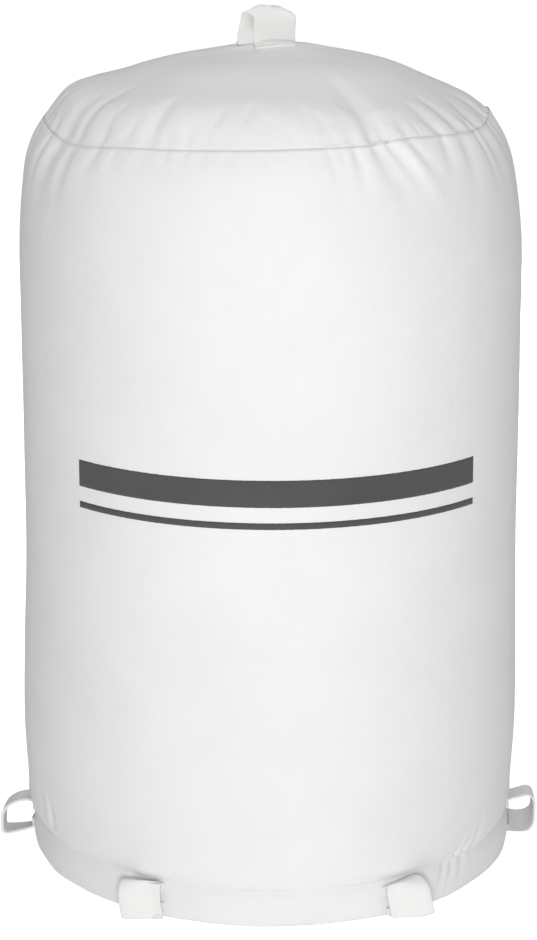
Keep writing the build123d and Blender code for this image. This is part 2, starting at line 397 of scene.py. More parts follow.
def fillTheBag():
    # rows of points from the middle of the crown out to the seam, then down to the hem's stitches
    wallNoise = smoothNoise(azimuths, wallStations, 26, 9, 3.1)
    crownNoise = smoothNoise(azimuths, crownStations, 30, 14, 8.4)
    wallFolds, crownFolds = gatheredFolds(wallStations, False), gatheredFolds(crownStations, True)
    coneShare = bag["crownCutRadius"] / crownLength
    coneRise = math.sqrt(max(0.0, 1 - coneShare ** 2))
    rows, cut, pinned = [], [], []
    for i in range(len(crownStations) - 1, 0, -1):
        radius, height = crownProfile[i]
        fade = math.exp(-crownStations[i] / bag["seamFade"]["crown"])
        push = crownFolds[i] + crownNoise[i] * bag["lumps"]["crown"]
        lift = push * bag["foldLift"] + seamLift * fade - dipAtStrap(azimuths, radius)
        rows.append(onBag(azimuths, radius + push * bag["foldPush"] + seamPush * fade, height + lift))
        flat = bag["crownCutRadius"] - crownStations[i] * coneShare
        cut.append(onBag(azimuths, flat, wallTop + crownStations[i] * coneRise))
        pinned.append(i > len(crownStations) - 4)
    for i, station in enumerate(wallStations):
        radius, height = wallProfile[i]
        fade = math.exp(-station / bag["seamFade"]["wall"])
        push = wallFolds[i] + wallNoise[i] * bag["lumps"]["wall"] * softStep(station, 0, 0.01)
        push = push + seamPush * fade
        rows.append(onBag(azimuths, radius + push, height + seamLift * fade))
        drawnIn = (wallRadius - bag["wallCutRadius"]) * math.exp(-station / bag["cutFade"])
        cut.append(onBag(azimuths, wallRadius - drawnIn, wallTop - station))
        pinned.append(i == 0 or i == len(wallStations) - 1)
    rows = np.array(rows)
    move = settle(rows, np.array(cut), pinned) - rows
    far = np.linalg.norm(move, axis=-1, keepdims=True)
    print("cloth filled, mean move", round(float(far.mean()) * 1000, 1), "mm")
    rows = rows + move * np.minimum(1, bag["mostMove"] / np.maximum(far, 1e-9))
    seamRow = len(crownStations) - 1      # shared by both panels
    return rows[:seamRow + 1], rows[seamRow:]


crownRows, wallRows = fillTheBag()


hem = {
    "height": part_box("side_panel")[0].z + 0.042,   # of the plies, folded up inside
    "fold": feltThickness,                         # outer radius of the fold
    "grooveDepth": 0.0012,
    "grooveWidth": 0.0022,
    "fullness": 0.0032,                            # how far the hem puffs out below its stitches
    "waveOut": 0.0030,
    "waveUp": 0.0006,
    "innerGroove": (0.0005, 0.0016),               # depth and width of the groove inside
    "firstHeights": [0.0345, 0.0300, 0.0250, 0.0200, 0.0150, 0.0100, 0.0060, 0.0030],
    "innerHeights": [0.0030, 0.0080, 0.0150, 0.0230, 0.0300, 0.0345, 0.0368, 0.0385, 0.0402, 0.0420],
}

# creases of the wall near the hem: azimuth, height, width in degrees, half length, depth, lean
lowCreases = [
    (43.5, 0.031, 0.9, 0.027, 0.0030, 140), (47.0, 0.036, 0.9, 0.030, 0.0034, 140),
    (51.0, 0.040, 1.0, 0.028, 0.0026, 120), (56.0, 0.052, 1.4, 0.030, 0.0014, 80),
    (-61.0, 0.066, 1.4, 0.026, 0.0024, -60), (-66.0, 0.072, 1.6, 0.022, 0.0012, -30),
    (-40.5, 0.050, 1.6, 0.016, 0.0010, 0), (104, 0.055, 1.6, 0.030, 0.0022, 30),
    (141, 0.060, 1.5, 0.026, 0.0024, -30), (-112, 0.052, 1.6, 0.028, 0.0024, 20),
    (-133, 0.062, 1.4, 0.024, 0.0018, -20), (-164, 0.058, 1.5, 0.026, 0.0022, 0),
]

# where the felt swells out over the straps: azimuth, height, width in degrees, half height, swell
swells = [
    (-29, 0.0500, 4.6, 0.0090, 0.0042), (31, 0.0500, 5.0, 0.0100, 0.0036),
    (-90, 0.052, 4.5, 0.012, 0.0016), (90, 0.052, 4.5, 0.012, 0.0016),
    (-150, 0.052, 4.5, 0.011, 0.0020), (150, 0.051, 4.5, 0.011, 0.0022),
]

backSeam = {
    "width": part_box("side_seam_stitching")[1].x * 2 + 0.0054,  # of the plies pressed flat inside
    "rows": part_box("side_seam_stitching")[1].x - 0.0003,       # each row of stitches from the seam
    "creaseDepth": 0.0011,
    "creaseWidth": 0.35,                                       # in degrees
    "rowDepth": 0.0005,
}

rowTurn = math.degrees(backSeam["rows"] / wallRadius)
besideSeam = (0.2, 0.45, rowTurn - 0.25, rowTurn, rowTurn + 0.25)
finePlaces = [-180 + turn for turn in besideSeam] + [180 - turn for turn in besideSeam]
finePlaces += list(np.arange(39, 58, 0.3)) + list(np.arange(-68, -56, 0.4))
finePlaces += list(azimuths + 180 / bag["around"])
hemAzimuths = np.array(sorted(set(np.round(np.concatenate([azimuths, finePlaces]), 4))))


def columnsAt(rows, wanted):
    # the same rows with columns at other azimuths
    closed = np.concatenate([rows, rows[:, :1]], axis=1)
    at = np.append(azimuths, azimuths[0] + 360)
    index = np.clip(np.searchsorted(at, wanted, side="right") - 1, 0, len(at) - 2)
    share = ((wanted - at[index]) / (at[index + 1] - at[index]))[None, :, None]
    return closed[:, index] * (1 - share) + closed[:, index + 1] * share


def rowsAt(rows, stations, wanted):
    # the same columns with rows at other stations
    index = np.clip(np.searchsorted(stations, wanted, side="right") - 1, 0, len(stations) - 2)
    share = ((wanted - stations[index]) / (stations[index + 1] - stations[index]))[:, None, None]
    return rows[index] * (1 - share) + rows[index + 1] * share


def pushedOut(rows, push):
    # moves points straight out from the bag's axis
    radius = np.linalg.norm(rows[..., :2], axis=-1, keepdims=True)
    out = rows.copy()
    out[..., :2] += rows[..., :2] / radius * push[..., None]
    return out


def backCrease(azimuth):
    away = turnedTo(azimuth, 180)
    rowsPull = hump(np.abs(away) - rowTurn, 0.25) * backSeam["rowDepth"]
    return -hump(away, backSeam["creaseWidth"]) * backSeam["creaseDepth"] - rowsPull


def creases(azimuth, height):
    depth = 0 * (azimuth + height)
    for at, middle, width, half, deep, lean in lowCreases:
        away = turnedTo(azimuth, at + lean * (height - middle))
        depth = depth - deep * hump(away, width) * hump(height - middle, half * 0.6)
    for at, middle, width, half, out in swells:
        depth = depth + out * hump(turnedTo(azimuth, at), width) * hump(height - middle, half)
    return depth


hemWaves = smoothNoise(hemAzimuths, [0.0, 0.4], 15, 1.0, 21.7)


def hemWave(azimuth, kind=0):
    return np.interp(azimuth, hemAzimuths, hemWaves[kind], period=360)


def hemRadiusAt(azimuth, height):
    # the hem's outer face: a groove at its stitches, a little fullness and waves below them
    low = np.clip(1 - height / hemRowHeight, 0, 1)
    groove = -hem["grooveDepth"] * hump(height - hemRowHeight, hem["grooveWidth"])
    full = hem["fullness"] * np.sin(math.pi * low)
    waves = hem["waveOut"] * low * hemWave(azimuth)
    return hemRadius + groove + full + waves + creases(azimuth, height)


def hemHeightAt(azimuth, height):
    low = np.clip(1 - height / hemRowHeight, 0, 1)
    return height + hem["waveUp"] * low * (0.5 + hemWave(azimuth, 1)).clip(0)


def hemRows():
    rows = []
    for height in hem["firstHeights"]:
        radius = hemRadiusAt(hemAzimuths, height)
        rows.append(onBag(hemAzimuths, radius, hemHeightAt(hemAzimuths, height)))
    wave = hem["waveOut"] * hemWave(hemAzimuths)
    innerDepth, innerWidth = hem["innerGroove"]
    for turn in np.radians([20, 50, 90, 130, 160]):
        radius = hemRadius - hem["fold"] * (1 - math.cos(turn)) + wave
        height = hem["fold"] * (1 - math.sin(turn))
        rows.append(onBag(hemAzimuths, radius, hemHeightAt(hemAzimuths, height)))
    for height in hem["innerHeights"]:
        low = max(0.0, 1 - height / hemRowHeight)
        groove = innerDepth * hump(height - hemRowHeight, innerWidth)
        radius = hemRadius - 2 * hem["fold"] + groove + wave * low
        rows.append(onBag(hemAzimuths, radius, hemHeightAt(hemAzimuths, height)))
    return rows


turnIn = np.array([crownHeading[1] - shoulderHeading[1], shoulderHeading[0] - crownHeading[0]])
turnIn = turnIn / np.linalg.norm(turnIn)
seamAllowance = {
    "depths": [0.012, 0.0085, 0.005, 0.002], "clearance": 0.00006, "wobble": 0.0012,
    "stitchDepth": 0.0033,       # of the seam's stitches, from its outer edge
}


def allowanceRows(seam, places, side):
    # the turned-in edge of a panel, deepest row first
    out = []
    radius = np.linalg.norm(seam[:, :2], axis=-1)
    wobble = smoothNoise(places, [0.0], 40, 1.0, 5.5)[0] * seamAllowance["wobble"]
    across = side * seamAllowance["clearance"]
    for depth in seamAllowance["depths"]:
        inward = turnIn[0] * depth - turnIn[1] * across + wobble * depth / seamAllowance["depths"][0]
        drop = turnIn[1] * depth + turnIn[0] * across
        out.append(onBag(places, radius + inward, seam[:, 2] + drop))
    return out


def makeWall():
    # from the seam down: coarse stations, then fine ones over the creases near the hem
    fineRun, fineStep = 0.12, 0.005
    coarse = wallStations[wallStations < wallLength - fineRun - fineStep]
    lowest = [*np.arange(fineRun, 0.006, -fineStep), 0.0045, 0.0028, 0.0014, 0.0]
    stations = np.concatenate([coarse, wallLength - np.array(lowest)])
    rows = columnsAt(rowsAt(wallRows, wallStations, stations), hemAzimuths)
    height = rows[..., 2]
    toHem = (softStep(wallLength - stations, 0.0, 0.02) * softStep(stations, 0.0, 0.012))[:, None]
    groove = -hem["grooveDepth"] * hump(height - hemRowHeight, hem["grooveWidth"])
    push = groove + lowSwell(hemAzimuths[None, :], height) + sharpFolds(stations, False)
    push = push + creases(hemAzimuths[None, :], height) + backCrease(hemAzimuths)[None, :] * toHem
    rows = pushedOut(rows, push)
    top = allowanceRows(rows[0], hemAzimuths, 1)
    return np.array(top + list(rows) + hemRows()), rows


def makeCrown():
    rows = columnsAt(crownRows, hemAzimuths)
    radius = np.linalg.norm(rows[..., :2], axis=-1)
    folds = sharpFolds(crownStations[::-1], True)
    rows[..., 2] += folds * bag["foldLift"] - sagOf(hemAzimuths[None, :], radius)
    rows = pushedOut(rows, folds * 0.4)
    rows[-1] = columnsAt(crownRows, hemAzimuths)[-1]
    middle = onBag(hemAzimuths, 0.004, crownTop - dipAtStrap(hemAzimuths, 0.004))
    return np.array([middle] + list(rows) + allowanceRows(rows[-1], hemAzimuths, -1)[::-1])


wallGrid, visibleWall = makeWall()
crownGrid = makeCrown()
sideWall = gridPiece("side_wall_felt", wallGrid)
around = len(hemAzimuths)
crownPoints = np.append(crownGrid.reshape(-1, 3), [[0, 0, crownTop]], axis=0)
middleFaces = [(len(crownPoints) - 1, i, (i + 1) % around) for i in range(around)]
crown = newPiece("crown_felt", crownPoints, gridFaces(len(crownGrid), around) + middleFaces)
print("panels", wallGrid.shape, crownGrid.shape)


def thicken(piece, thickness):
    skin = piece.modifiers.new("thickness", "SOLIDIFY")
    skin.thickness, skin.offset = thickness, -1


for panel, node in ((sideWall, "side_panel"), (crown, "crown_panel")):
    thicken(panel, feltThickness * 0.975)
    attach(panel, "bag")
    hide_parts(node)


def wallAt(azimuth, height, lift=0.0):
    # points on the wall's outer face, lifted off it
    azimuth, height = np.broadcast_arrays(np.atleast_1d(azimuth), np.atleast_1d(height))
    radius = np.linalg.norm(visibleWall[..., :2], axis=-1)
    column = np.searchsorted(hemAzimuths, azimuth) % len(hemAzimuths)
    before = column - 1
    span = (hemAzimuths[column] - hemAzimuths[before]) % 360
    share = ((azimuth - hemAzimuths[before]) % 360) / span
    out = []
    for a, h, c, b, s in zip(azimuth, height, column, before, share):
        radii = [np.interp(-h, -visibleWall[:, k, 2], radius[:, k]) for k in (b, c)]
        out.append(onBag(a, radii[0] * (1 - s) + radii[1] * s + lift, h))
    return np.array(out)


stitch = {"length": 0.0033, "gap": 0.0005, "radius": 0.00032, "sink": 0.00045, "sides": 6}


def stitchTemplate(length):
    # a short cord whose two ends dive into the cloth: along, across, out
    rings, shares = [], [-1.0, -0.8, -0.4, 0.0, 0.4, 0.8, 1.0]
    for share in shares:
        radius = stitch["radius"] * (1 - 0.55 * share ** 4)
        rise = stitch["radius"] * 0.7 - stitch["sink"] * share ** 4
        for k in range(stitch["sides"]):
            turn = 2 * math.pi * k / stitch["sides"]
            rings.append((share * length / 2, radius * math.cos(turn), rise + radius * math.sin(turn)))
    faces = gridFaces(len(shares), stitch["sides"])
    last = (len(shares) - 1) * stitch["sides"]
    faces.append(tuple(range(stitch["sides"]))[::-1])
    faces.append(tuple(last + k for k in range(stitch["sides"])))
    return np.array(rings), [face[::-1] for face in faces]


def stitchPiece(name, lines, node):
    # lines: (points along a seam, outward directions there); one stitch after the other on each
    points, faces = [], []
    for line, outward in lines:
        line, outward = np.array(line), np.array(outward)
        along = distances(line)
        count = max(1, round(along[-1] / (stitch["length"] + stitch["gap"])))
        step = along[-1] / count
        template, pattern = stitchTemplate(step - stitch["gap"])
        centres = resampled(line, (np.arange(count) + 0.5) * step)
        before, after = (resampled(line, (np.arange(count) + part) * step) for part in (0.4, 0.6))
        ahead = after - before
        ahead /= np.linalg.norm(ahead, axis=1, keepdims=True)
        shares = np.interp((np.arange(count) + 0.5) * step, along, np.arange(len(line)))
        low = np.clip(shares.astype(int), 0, len(line) - 2)
        out = outward[low] + (outward[low + 1] - outward[low]) * (shares - low)[:, None]
        out = out - ahead * (out * ahead).sum(1, keepdims=True)
        out /= np.linalg.norm(out, axis=1, keepdims=True)
        across = np.cross(out, ahead)
        for centre, a, s, o in zip(centres, ahead, across, out):
            first = len(points) * len(template)
            points.append(centre + template[:, :1] * a + template[:, 1:2] * s + template[:, 2:3] * o)
            faces += [tuple(first + i for i in face) for face in pattern]
    piece = newPiece(name, np.array(points), faces)
    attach(piece, "bag")
    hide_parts(node)
    return piece


ring = np.append(azimuths, azimuths[0] + 360)
outwardRing = onBag(ring, 1.0, 0.0)
turnedRing = turnedTo(ring, 0)
hemOutside = onBag(ring, hemRadiusAt(turnedRing, hemRowHeight), hemRowHeight)
hemInside = onBag(ring, hemRadius - 2 * hem["fold"] + 0.0005, hemRowHeight)
hemLines = [(hemOutside, outwardRing), (hemInside, -outwardRing)]
threads = [stitchPiece("hem_stitches", hemLines, "hem_stitching")]


def crownSeamLines():
    # one thread line on each face of the turned-in plies
    seam = np.concatenate([crownRows[-1], crownRows[-1][:1]])
    radius = np.linalg.norm(seam[:, :2], axis=1)
    depth, lines = seamAllowance["stitchDepth"], []
    for side in (-1, 1):
        off = side * feltThickness
        height = seam[:, 2] + turnIn[1] * depth - turnIn[0] * off
        line = onBag(ring, radius + turnIn[0] * depth + turnIn[1] * off, height)
        out = onBag(ring, turnIn[1] * side, -turnIn[0] * side)
        lines.append((line, out))
    return lines


threads.append(stitchPiece("crown_seam_stitches", crownSeamLines(), "crown_seam_stitching"))


def backSeamLines():
    heights = np.linspace(hemRowHeight + 0.004, wallTop - 0.010, 160)
    lines = []
    for turn in (180 - rowTurn, -180 + rowTurn):
        line = wallAt(turn, heights, -0.00005)
        lines.append((line, np.repeat(onBag(np.array([turn]), 1.0, 0.0), len(heights), axis=0)))
    return lines


threads.append(stitchPiece("side_seam_stitches", backSeamLines(), "side_seam_stitching"))


def makeSeamPlies():
    # the wall's two side edges, pressed flat and stitched down inside the back
    heights = np.linspace(hem["height"] + 0.001, wallTop - 0.016, 90)
    half = backSeam["width"] / 2
    section = [
        (-half, 0.0), (-half - 0.0003, 1.0), (-half, 2.0), (-0.0015, 2.0), (0.0, 1.75),
        (0.0015, 2.0), (half, 2.0), (half + 0.0003, 1.0), (half, 0.0), (0.0, 0.0),
    ]
    rows = []
    for across, depth in section:
        azimuth = 180 - math.degrees(across / wallRadius)
        rows.append(wallAt(azimuth, heights, -feltThickness * (1.02 + depth)))
    rows = np.array(rows).transpose(1, 0, 2)
    piece = gridPiece("side_seam_plies", rows)
    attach(piece, "bag")
    return piece


seamPlies = makeSeamPlies()
print("stitches and seam plies made")


strap = {"thickness": 0.0025, "step": 0.0014, "across": 14, "edge": 0.0011}


def strapSection(width, thickness):
    # round the strap: across and through, with rounded edges
    half, edge = width / 2 - strap["edge"], thickness / 2
    points = []
    for side in (1, -1):
        points += [(side * a, side * edge) for a in np.linspace(-half, half, strap["across"])]
        for t in np.radians([35, 70, 110, 145]):
            points.append((side * (half + strap["edge"] * math.sin(t)), side * edge * math.cos(t)))
    return np.array(points)


def strapPiece(name, path, width, shape):
    # sweeps the strap's section along path, a line in the plane that the strap bends in;
    # shape turns (place on the path, across, share of the length) into a point of the bag
    path = evenly(path, strap["step"])
    heading = np.gradient(path, axis=0)
    heading /= np.linalg.norm(heading, axis=1, keepdims=True)
    normal = np.stack([-heading[:, 1], heading[:, 0]], axis=1)
    section = strapSection(width, strap["thickness"])
    along = distances(path)
    rows, weave = [], []
    for i in range(len(path)):
        place = path[i] + section[:, 1:2] * normal[i]
        rows.append(shape(place, section[:, 0], along[i] / along[-1]))
        weave += [(along[i], a, t) for a, t in section]
    count, around = len(rows), len(section)
    faces = gridFaces(count, around)
    faces.append(tuple(range(around))[::-1])
    faces.append(tuple((count - 1) * around + k for k in range(around)))
    piece = newPiece(name, np.array(rows), [face[::-1] for face in faces])
    layer = piece.data.attributes.new("weave", "FLOAT_VECTOR", "POINT")
    layer.data.foreach_set("vector", np.array(weave, np.float32).reshape(-1))
    return piece


beltLoops = {
    "width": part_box("belt_loop_left")[1].y * 2,
    "middle": sum(corner.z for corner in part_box("belt_loop_left")) / 2,
    "standOff": -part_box("belt_loop_left")[0].x - hemRadius,
    "footEnd": 0.0055,
    "fold": 0.0145,
    "foldRadius": 0.0022,
    "reach": 0.023,
    "stitchRows": (0.0075, 0.0110),
    "blend": (0.004, 0.016),
    "clearOfFloor": (0.0009, 0.0040),   # lowest height, and where a low edge starts to flatten
    # azimuth, stand-off, degrees that the upper and the lower half are skewed, the rise of its middle,
    # the upper and lower corner radii, and how much nearer the bag its left (-) or right (+) edge lies
    "places": {
        "front_left": (-29, 0.0275, 3, 9, -0.0006, 0.012, 0.008, 0.0190),
        "left": (-90, 0.0385, 6, 12, 0.0, 0.0205, 0.0045, 0.0),
        "rear_left": (-150, 0.0310, -4, -10, 0.0, 0.013, 0.010, -0.004),
        "rear_right": (150, 0.0330, 5, 12, 0.0, 0.011, 0.013, 0.005),
        "right": (90, 0.0325, -7, 19, 0.0008, 0.007, 0.016, 0.0),
        "front_right": (30.4, 0.0330, 9, 17, -0.0010, 0.014, 0.006, -0.0210),
    },
}


def beltStrap(place, settings):
    azimuth, standOff, upperSkew, lowerSkew, rise, upperCorner, lowerCorner, pinch = settings
    loop = beltLoops
    lowest, low = loop["clearOfFloor"]
    half = strap["thickness"] / 2
    outer = loop["standOff"] - half
    upper = [(half, loop["footEnd"]), (half, loop["fold"]), (outer, loop["reach"])]
    corners = upper + [(x, -y) for x, y in reversed(upper)]
    path = roundedPath(corners, [loop["foldRadius"], upperCorner, lowerCorner, loop["foldRadius"]])
    out = onBag(np.array(azimuth), 1.0, 0.0)
    right = np.array([math.cos(math.radians(azimuth)), math.sin(math.radians(azimuth)), 0])

    def shape(spot, across, share):
        x, y = spot[:, 0], spot[:, 1]
        free = softStep(x, 0.002, loop["standOff"])
        nearing = softStep(math.copysign(1, pinch) * across, -0.5 * loop["width"], 0.5 * loop["width"])
        x = x * (1 + ((standOff - abs(pinch) * nearing) / loop["standOff"] - 1) * free)
        skew = math.radians(upperSkew + (lowerSkew - upperSkew) * float(softStep(share, 0.2, 0.8)))
        sideways = across * math.cos(skew) - y * math.sin(skew)
        height = across * math.sin(skew) + y * math.cos(skew)
        z = loop["middle"] + rise + height
        flattened = lowest + (low - lowest) * np.exp(np.minimum(0, z - low) / (low - lowest))
        z = np.where(z < low, flattened, z)
        curve = sideways ** 2 / (2 * hemRadius)
        near = 1 - softStep(x, 0.003, 0.014)
        hemFace = hemRadiusAt(azimuth + np.degrees(sideways / hemRadius), np.clip(z, 0, 0.036))
        radial = hemRadius + x + near * (hemFace - hemRadius - curve)
        return radial[:, None] * out + sideways[:, None] * right + np.array([0, 0, 1]) * z[:, None]

    piece = strapPiece("belt_strap_" + place, path, loop["width"], shape)
    node = "belt_loop_" + place
    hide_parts(node, node + "_feet")
    level = np.array([0, 0, loop["middle"]])
    near, far = (tuple(out * (hemRadius + reach) + level) for reach in loop["blend"])
    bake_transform(piece)
    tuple(near)
    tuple(far)
    lines = []
    across = np.linspace(-loop["width"] / 2 + 0.003, loop["width"] / 2 - 0.003, 12)
    for row in loop["stitchRows"]:
        for side, share in ((1, 0.0), (-1, 1.0)):
            spots = np.tile([strap["thickness"], side * row], (len(across), 1))
            line = shape(spots, across, share)
            lines.append((line, np.repeat([out], len(across), axis=0)))
    threads.append(stitchPiece("belt_strap_" + place + "_stitches", lines, node + "_stitching"))
    return piece


straps = [beltStrap(place, settings) for place, settings in beltLoops["places"].items()]

hanging = {
    "width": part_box("hanging_loop")[1].x * 2,
    "base": joints["hanging_loop_flop"]["pos_m"][2],
    "top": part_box("hanging_loop")[1].z,
    "span": 0.026,
    "roundness": 0.94,
    "part": 0.008,
    "partRadius": 0.012,
    "bendRadius": 0.0022,
    "frontFoot": 0.0200,
    "backFoot": 0.0165,
    "stitchRows": ((-0.0070, 0.0), (-0.0150, 0.0), (0.0060, 1.0), (0.0130, 1.0)),
    "blend": (0.001, 0.010),
    "turn": 4.0,              # degrees about the vertical
    "frontShift": 0.0030,     # the front ply stands to the right of the back ply
    "topShift": -0.0085,
    "backShift": -0.0125,
    "leftPinch": 0.62,        # share by which the two plies close up at the left edge
    "dent": 0.0026,           # in the middle of the fold over the top
    "sagLeft": 0.0065,        # how far the fold's two ends hang down
    "sagRight": 0.0060,
    "crownBend": 0.874,       # twice the crown's radius of curvature under the feet
}


def hangingStrap():
    loop = hanging
    half = strap["thickness"] / 2
    top = loop["top"] - loop["base"] - half
    side = np.array([loop["span"] / 2 - half, top - loop["part"]])
    turn = math.pi - math.atan2(side[1], side[0])
    corner = loop["roundness"] * loop["span"] / 2 / math.tan(turn / 2)
    part, wide = loop["part"], loop["span"] / 2
    rising = [(-loop["frontFoot"], -half), (-half, -half), (-half, part), (-wide, top)]
    falling = [(wide, top), (half, part), (half, -half), (loop["backFoot"], -half)]
    radii = [loop["bendRadius"], loop["partRadius"], corner]
    path = roundedPath(rising + falling, radii + radii[::-1])
    bow = math.radians(loop["turn"])

    def shape(spot, across, share):
        back, height = spot[:, 0], spot[:, 1]
        overTop = float(softStep(share, 0.42, 0.58))
        down = float(softStep(share, 0.55, 0.85))
        pinch = loop["leftPinch"] * softStep(-across, -0.002, 0.019)
        back = back * (1 - pinch * softStep(height, 0.001, part))
        shift = loop["frontShift"] + (loop["topShift"] - loop["frontShift"]) * overTop
        shift += (loop["backShift"] - loop["topShift"]) * down
        x = across + shift
        raised = softStep(height, 0.0, top)
        dent = loop["dent"] * hump(across - 0.004, 0.0035) * hump(share - 0.5, 0.06)
        sag = loop["sagLeft"] * softStep(-across, 0.004, 0.021)
        sag = sag + loop["sagRight"] * softStep(across, 0.007, 0.021)
        height = height - dent - raised * sag
        turnedX = x * math.cos(bow) - back * math.sin(bow)
        turnedY = x * math.sin(bow) + back * math.cos(bow)
        radius = np.hypot(turnedX, turnedY)
        azimuth = np.degrees(np.arctan2(turnedX, -turnedY))
        onCrown = 1 - softStep(height, 0.0005, 0.006)
        drop = (radius ** 2 / loop["crownBend"] + dipAtStrap(azimuth, radius)) * onCrown
        return np.stack([turnedX, turnedY, loop["base"] + height - drop], axis=1)

    piece = strapPiece("hanging_strap", path, loop["width"], shape)
    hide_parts("hanging_loop", "hanging_loop_feet")
    low, high = ((0, 0, loop["base"] + reach) for reach in loop["blend"])
    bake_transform(piece)
    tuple(low)
    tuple(high)
    across = np.linspace(-loop["width"] / 2 + 0.003, loop["width"] / 2 - 0.003, 14)
    lines = []
    for row, share in loop["stitchRows"]:
        line = shape(np.tile([row, 0.0], (len(across), 1)), across, share)
        lines.append((line, np.repeat([[0, 0, 1.0]], len(across), axis=0)))
    threads.append(stitchPiece("hanging_strap_stitches", lines, "hanging_loop_stitching"))
    return piece


straps.append(hangingStrap())
print("straps made")


stripes = {
    "azimuths": (-47.0, 51.0),
    "bars": ((0.4300, 0.4565), (0.4085, 0.4150)),
    "lift": 0.00012,
    "thickness": 0.00012,
    "edge": 0.00022,
    "step": 0.35,
}


def printBar(name, low, high, seed):
    columns = np.arange(stripes["azimuths"][0], stripes["azimuths"][1], stripes["step"])
    count = max(3, round((high - low) / 0.003) + 1)
    ragged = smoothNoise(columns, [0.0, 1.0], 700, 3.0, seed)
    rows = []
    for i, height in enumerate(np.linspace(high, low, count)):
        edge = ragged[0] if i == 0 else ragged[1] if i == count - 1 else 0
        rows.append(wallAt(columns, height + stripes["edge"] * edge, stripes["lift"]))
    piece = gridPiece(name, rows, closed=False)
    thicken(piece, stripes["thickness"])
    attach(piece, "bag")
    return piece


printed = []
for i, (low, high) in enumerate(stripes["bars"]):
    printed.append(printBar("print_bar_" + str(i + 1), low, high, 31.0 + i))
print("print made")


def feed(tree, value, socket):
    # value is a number or another node's output
    if isinstance(value, float):
        socket.default_value = value
    else:
        tree.links.new(value, socket)


def combined(tree, operation, *values):
    node = tree.nodes.new("ShaderNodeMath")
    node.operation = operation
    for value, socket in zip(values, node.inputs):
        feed(tree, value, socket)
    return node.outputs[0]


def noiseMask(tree, scale, detail, place, distortion=0.0):
    texture = tree.nodes.new("ShaderNodeTexNoise")
    names = ("Scale", "Detail", "Vector", "Distortion")
    for name, value in zip(names, (scale, detail, place, distortion)):
        feed(tree, value, texture.inputs[name])
    return texture.outputs["Fac"]


def spread(tree, source, low, high):
    # stretches what lies between low and high to 0 to 1
    span = tree.nodes.new("ShaderNodeMapRange")
    span.inputs["From Min"].default_value = low
    span.inputs["From Max"].default_value = high
    tree.links.new(source, span.inputs["Value"])
    return span.outputs["Result"]


def bumped(tree, height, strength, distance):
    bumps = tree.nodes.new("ShaderNodeBump")
    bumps.inputs["Strength"].default_value = strength
    bumps.inputs["Distance"].default_value = distance
    tree.links.new(height, bumps.inputs["Height"])
    return bumps


def makeFibreGroup():
    # short matted fibres and slow lumps, for everything made of fibres
    group = bpy.data.node_groups.new("mattedFibres", "ShaderNodeTree")
    for name, kind, value in (
            ("Color", "Color", (0.8, 0.8, 0.8, 1)), ("Fibres per metre", "Float", 900.0),
            ("Fibre height", "Float", 0.0002), ("Lump height", "Float", 0.0004),
            ("Mottle", "Float", 0.04)):
        socket = group.interface.new_socket(name=name, in_out="INPUT", socket_type="NodeSocket" + kind)
        socket.default_value = value
    for name, kind in (("Color", "Color"), ("Normal", "Vector")):
        group.interface.new_socket(name=name, in_out="OUTPUT", socket_type="NodeSocket" + kind)
    nodes, links = group.nodes, group.links
    given, result = nodes.new("NodeGroupInput"), nodes.new("NodeGroupOutput")
    place = nodes.new("ShaderNodeTexCoord").outputs["Object"]
    highest = 0.0
    for turn, stretch in (   # the fibres lie in three directions
            ((0.5, 0.2, 0.3), (1, 0.16, 1)),
            ((1.1, 0.9, 2.0), (0.2, 1, 1)),
            ((2.2, 0.4, 1.2), (1, 1, 0.18))):
        mapping = nodes.new("ShaderNodeMapping")
        mapping.inputs["Rotation"].default_value = turn
        mapping.inputs["Scale"].default_value = stretch
        links.new(place, mapping.inputs["Vector"])
        fineness = given.outputs["Fibres per metre"]
        strand = noiseMask(group, fineness, 2.0, mapping.outputs["Vector"], 0.6)
        highest = combined(group, "MAXIMUM", highest, strand)
    lumps = noiseMask(group, 55.0, 3.0, place)
    patches = spread(group, noiseMask(group, 11.0, 2.0, place), 0.3, 0.7)
    patches = combined(group, "MULTIPLY", patches, 0.6)
    flecks = combined(group, "MULTIPLY", spread(group, highest, 0.35, 0.75), 0.4)
    uneven = combined(group, "SUBTRACT", 1.0, combined(group, "ADD", patches, flecks))
    darker = combined(group, "MULTIPLY", uneven, given.outputs["Mottle"])
    tint = nodes.new("ShaderNodeVectorMath")
    tint.operation = "SCALE"
    links.new(given.outputs["Color"], tint.inputs["Vector"])
    links.new(combined(group, "SUBTRACT", 1.0, darker), tint.inputs["Scale"])
    links.new(tint.outputs["Vector"], result.inputs["Color"])
    fibreHeight = combined(group, "MULTIPLY", highest, given.outputs["Fibre height"])
    lumpHeight = combined(group, "MULTIPLY", lumps, given.outputs["Lump height"])
    bumps = bumped(group, combined(group, "ADD", fibreHeight, lumpHeight), 1.0, 1.0)
    links.new(bumps.outputs["Normal"], result.inputs["Normal"])
    return group


fibreGroup = makeFibreGroup()

# colour, roughness, sheen, then the values of the fibre group
fibreFinishes = {
    "needleFelt": ((0.79, 0.79, 0.785), 0.95, 0.12, 620.0, 0.00022, 0.00050, 0.06),
    "polyesterThread": ((0.82, 0.82, 0.81), 0.7, 0.1, 2600.0, 0.00008, 0.0, 0.15),
    "screenInk": ((0.085, 0.085, 0.088), 0.8, 0.1, 620.0, 0.00016, 0.00040, 0.25),
    "wovenStrap": ((0.80, 0.80, 0.79), 0.85, 0.15, 1500.0, 0.00010, 0.00025, 0.07),
}
strapWeave = {"ribs": 0.0011, "threads": 0.0008, "strength": 0.35, "height": 0.00025}


